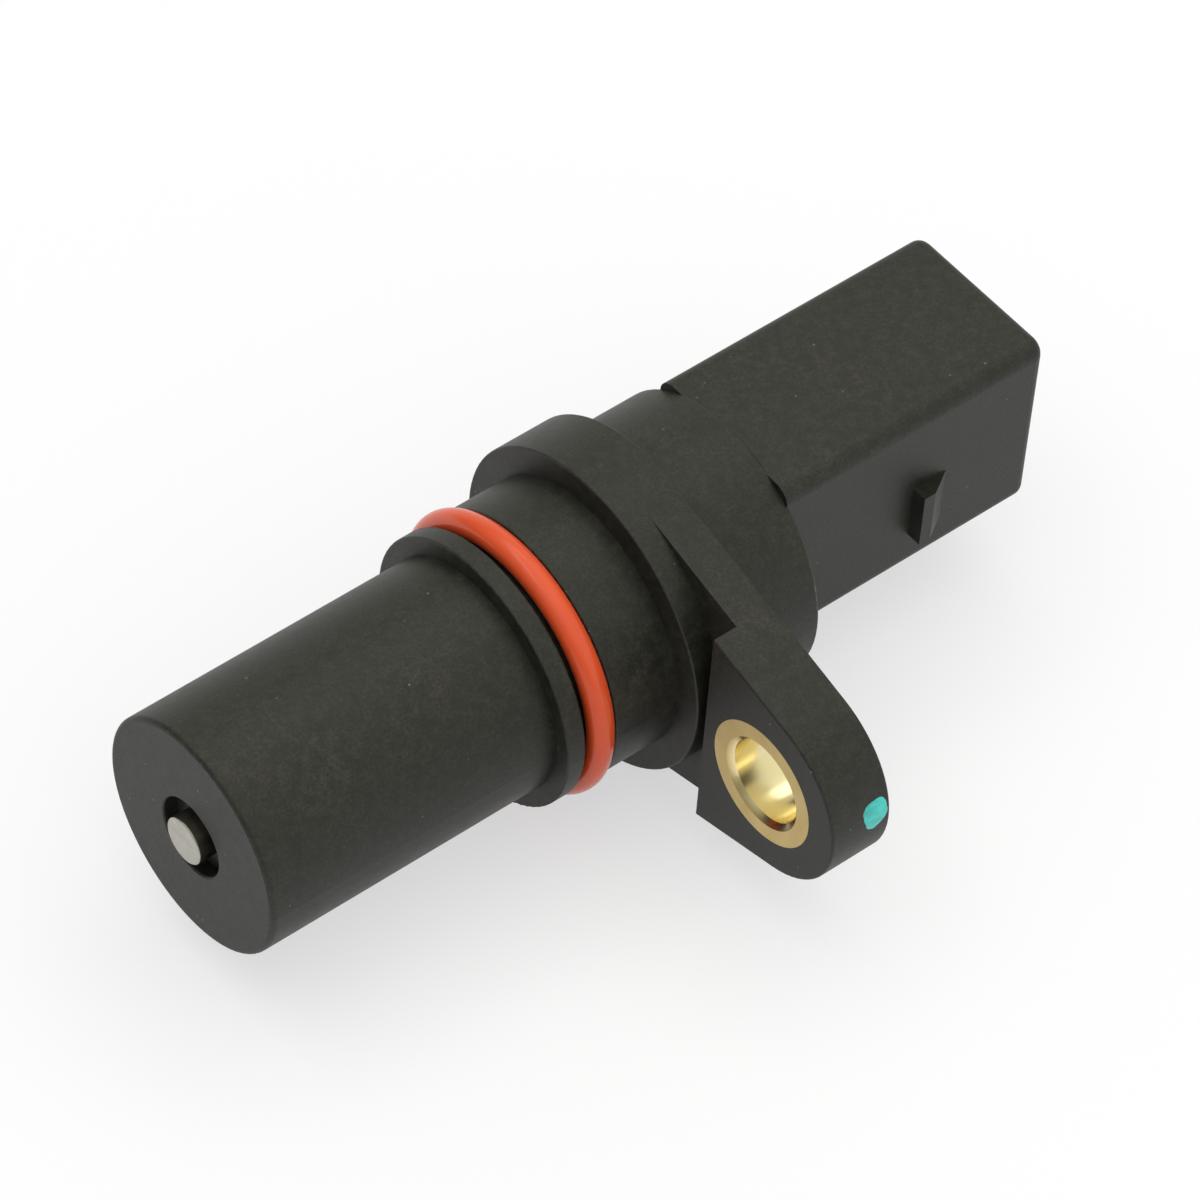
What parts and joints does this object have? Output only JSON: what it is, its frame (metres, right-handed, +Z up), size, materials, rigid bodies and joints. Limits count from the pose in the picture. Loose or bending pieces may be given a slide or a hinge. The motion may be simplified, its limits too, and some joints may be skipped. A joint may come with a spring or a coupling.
{
  "type": "crankshaft position sensor",
  "caption": "Inductive crankshaft position sensor: round moulded nose with pole piece, seal ring, flange lug with a brass screw bush, and a plug socket with a locking nose.",
  "frame": {"origin": "on the sensing axis, in the seat plane where the flange meets the engine block", "axes": "+X along the sensing axis towards the tip, +Y towards the fixing screw, +Z up across the flange"},
  "size_m": [0.0698, 0.0392, 0.025],
  "materials": {
    "housing_plastic": "moulded glass-filled polyamide, black, matt",
    "seal_rubber": "moulded silicone rubber, orange-red, satin",
    "bush_brass": "turned brass, dulled",
    "pole_iron": "turned soft iron, bright",
    "magnet_alloy": "cast and ground magnet alloy",
    "former_plastic": "moulded natural polyamide",
    "winding_copper": "enamelled copper wire, close wound",
    "tape_film": "amber polyimide tape",
    "carrier_plastic": "moulded glass-filled polyamide",
    "terminal_metal": "tin-plated brass, stamped"
  },
  "bodies": {
    "root": {"housing": "housing_plastic", "o_ring": "seal_rubber", "mounting_bush": "bush_brass", "pole_piece": "pole_iron", "permanent_magnet": "magnet_alloy", "coil_former": "former_plastic", "coil_winding": "winding_copper", "coil_tape": "tape_film", "terminal_carrier": "carrier_plastic", "return_terminal": "terminal_metal", "shield_terminal": "terminal_metal", "signal_terminal": "terminal_metal"}
  },
  "joints": []
}
